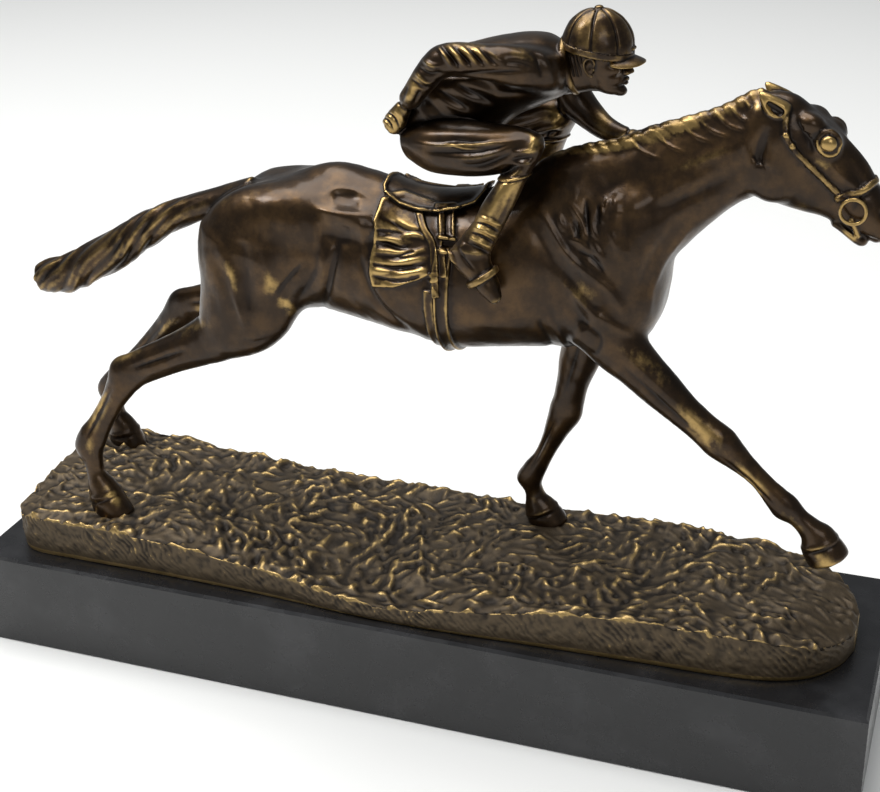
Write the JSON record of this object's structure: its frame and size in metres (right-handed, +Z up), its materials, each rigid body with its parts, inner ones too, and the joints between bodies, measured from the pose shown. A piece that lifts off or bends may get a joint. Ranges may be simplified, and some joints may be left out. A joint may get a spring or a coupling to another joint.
{
  "type": "equestrian statuette",
  "caption": "Bronze statuette of a racehorse at the gallop with a crouching jockey on rough ground, on a low black marble plinth.",
  "frame": {"origin": "middle of the marble plinth's underside", "axes": "+X along the plinth towards the horse's head, +Y towards the horse's left side, +Z up"},
  "size_m": [0.4, 0.106, 0.2979],
  "materials": {
    "bronze": "cast bronze with a dark brown waxed patina, rubbed golden on raised edges",
    "black_marble": "polished black marble"
  },
  "bodies": {
    "root": {"bronze_group": "bronze", "marble_plinth": "black_marble"}
  },
  "joints": []
}
